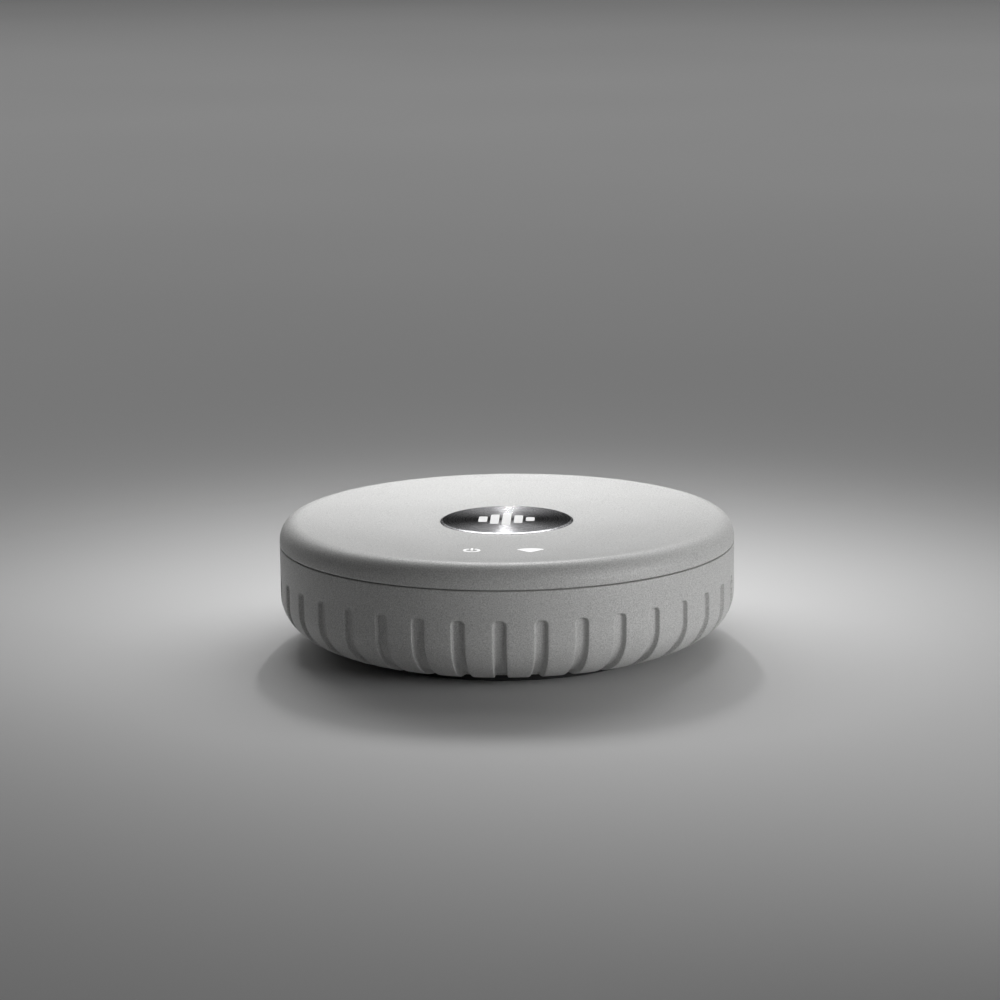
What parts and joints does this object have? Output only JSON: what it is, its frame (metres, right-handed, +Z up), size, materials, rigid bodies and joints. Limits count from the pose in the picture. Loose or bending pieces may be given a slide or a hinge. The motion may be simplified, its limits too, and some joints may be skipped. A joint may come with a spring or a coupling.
{
  "type": "wireless audio receiver",
  "caption": "Round, puck-shaped wireless audio receiver with a dished lid, a fluted lower housing and a recessed bay of audio sockets at the back.",
  "frame": {"origin": "centre of the foot ring's contact plane, on the axis of the round body", "axes": "+Z up through the lid; -Y to the front, where the two touch symbols are; +Y out of the socket bay"},
  "size_m": [0.1248, 0.1248, 0.0361],
  "materials": {
    "shell_paint": "light grey paint with a fine sanded grain",
    "spun_aluminium": "spun face, polished chamfer, white printed emblem",
    "adhesive": "soft",
    "black_plastic": "fine moulded texture",
    "cable_jacket": "satin",
    "rubber": "matt",
    "steel": "zinc plated",
    "circuit_board": "solder mask over glass fibre",
    "tin_plate": "tinned sheet",
    "chip_black": "moulded epoxy",
    "white_plastic": "moulded",
    "red_plastic": "moulded",
    "nickel_plate": "bright nickel",
    "dark_plastic": "moulded",
    "symbol_light": "translucent, lit white from behind",
    "clear_plastic": "clear moulded"
  },
  "bodies": {
    "root": {"antenna_lead_left": "cable_jacket", "antenna_lead_right": "cable_jacket", "antenna_left": "circuit_board", "antenna_right": "circuit_board", "badge_adhesive": "adhesive", "badge_disc": "spun_aluminium", "base_plate": "black_plastic", "board_screw_1": "steel", "board_screw_2": "steel", "board_screw_3": "steel", "capacitor_1": "tin_plate", "capacitor_2": "tin_plate", "capacitor_3": "tin_plate", "capacitor_4": "tin_plate", "case_screw_1": "steel", "case_screw_2": "steel", "case_screw_3": "steel", "case_screw_4": "steel", "crystal": "tin_plate", "dac_chip": "chip_black", "dc_inlet": "black_plastic", "dc_inlet_pin": "nickel_plate", "foot_ring": "rubber", "light_shroud": "black_plastic", "lower_housing": "shell_paint", "main_board": "circuit_board", "main_ribbon_socket": "white_plastic", "memory_chip": "chip_black", "opamp_chip": "chip_black", "optical_emitter": "clear_plastic", "optical_jack": "black_plastic", "pair_switch_body": "dark_plastic", "port_panel": "black_plastic", "power_inductor": "chip_black", "power_led": "white_plastic", "power_light_guide": "symbol_light", "processor": "chip_black", "processor_shield": "tin_plate", "radio_module": "tin_plate", "rca_left_barrel": "nickel_plate", "rca_left_body": "white_plastic", "rca_right_barrel": "nickel_plate", "rca_right_body": "red_plastic", "ribbon_cable": "white_plastic", "thermal_pad": "adhesive", "top_cover": "shell_paint", "touch_board": "circuit_board", "touch_ribbon_socket": "white_plastic", "touch_screw_1": "steel", "touch_screw_2": "steel", "wireless_led": "white_plastic", "wireless_light_guide": "symbol_light"},
    "pair_button": {"pair_button_cap": "dark_plastic", "pair_switch_plunger": "white_plastic"},
    "optical_shutter": {"optical_shutter": "black_plastic"}
  },
  "joints": [
    {"name": "pair_button_press", "type": "slide", "parent": "root", "child": "pair_button", "axis": [0, -1, 0], "range_m": [0, 0.0005], "stiffness_N_per_m": 1500, "springref_m": -0.0002},
    {"name": "optical_shutter_hinge", "type": "hinge", "parent": "root", "child": "optical_shutter", "pos_m": [-0.016, 0.04665, 0.0209], "axis": [-1, 0, 0], "range_deg": [0, 80], "stiffness_Nm_per_rad": 0.002, "springref_deg": -20.05}
  ]
}
